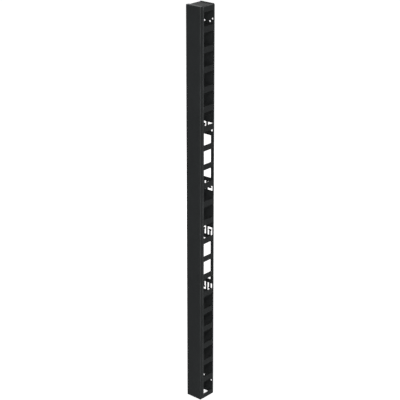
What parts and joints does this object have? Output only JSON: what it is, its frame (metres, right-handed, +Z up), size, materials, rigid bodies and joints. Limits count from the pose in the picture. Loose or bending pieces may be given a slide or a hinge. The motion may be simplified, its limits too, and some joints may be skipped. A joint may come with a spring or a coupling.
{
  "type": "vertical cable manager",
  "caption": "Tall sheet-steel post for a server rack with ladder-style cable openings down both sides, ported back panel and a full-height hinged cover.",
  "frame": {"origin": "bottom centre of the back mounting face", "axes": "+Z up the post, +Y out of the back face towards what it is fastened to, the cover faces -Y, +X to the right as seen from the front"},
  "size_m": [0.088, 0.093, 1.8911],
  "materials": {
    "frame_coat": "satin black powder coat with a very fine texture",
    "plate_coat": "satin black powder coat with a very fine texture",
    "cover_coat": "satin black powder coat, smooth and even",
    "rivet_coat": "powder coated over with the frame",
    "pin_steel": "bright ground steel",
    "zinc_steel": "bright zinc plate",
    "black_plastic": "fine moulded matt black",
    "ferrite": "dark grey sintered ferrite",
    "rubber": "matt black rubber"
  },
  "bodies": {
    "frame": {"back_panel": "frame_coat", "left_ladder": "frame_coat", "right_ladder": "frame_coat", "top_plate": "plate_coat", "base_frame": "plate_coat", "frame_rivets": "rivet_coat", "cover_buffers": "rubber", "catch_screws": "zinc_steel", "bottom_lower_barrel": "frame_coat", "bottom_hinge_pin": "pin_steel", "bottom_hinge_washer": "zinc_steel", "bottom_catch_case": "black_plastic", "bottom_catch_magnet": "ferrite", "bottom_catch_poles": "zinc_steel", "lower_lower_barrel": "frame_coat", "lower_hinge_pin": "pin_steel", "lower_hinge_washer": "zinc_steel", "lower_catch_case": "black_plastic", "lower_catch_magnet": "ferrite", "lower_catch_poles": "zinc_steel", "upper_lower_barrel": "frame_coat", "upper_hinge_pin": "pin_steel", "upper_hinge_washer": "zinc_steel", "upper_catch_case": "black_plastic", "upper_catch_magnet": "ferrite", "upper_catch_poles": "zinc_steel", "top_lower_barrel": "frame_coat", "top_hinge_pin": "pin_steel", "top_hinge_washer": "zinc_steel", "top_catch_case": "black_plastic", "top_catch_magnet": "ferrite", "top_catch_poles": "zinc_steel"},
    "cover": {"cover": "cover_coat", "bottom_upper_barrel": "cover_coat", "lower_upper_barrel": "cover_coat", "upper_upper_barrel": "cover_coat", "top_upper_barrel": "cover_coat"}
  },
  "joints": [
    {"name": "cover_hinge", "type": "hinge", "parent": "frame", "child": "cover", "pos_m": [-0.043, -0.0755, 0.94405], "axis": [0, 0, -1], "range_deg": [0, 180]}
  ]
}
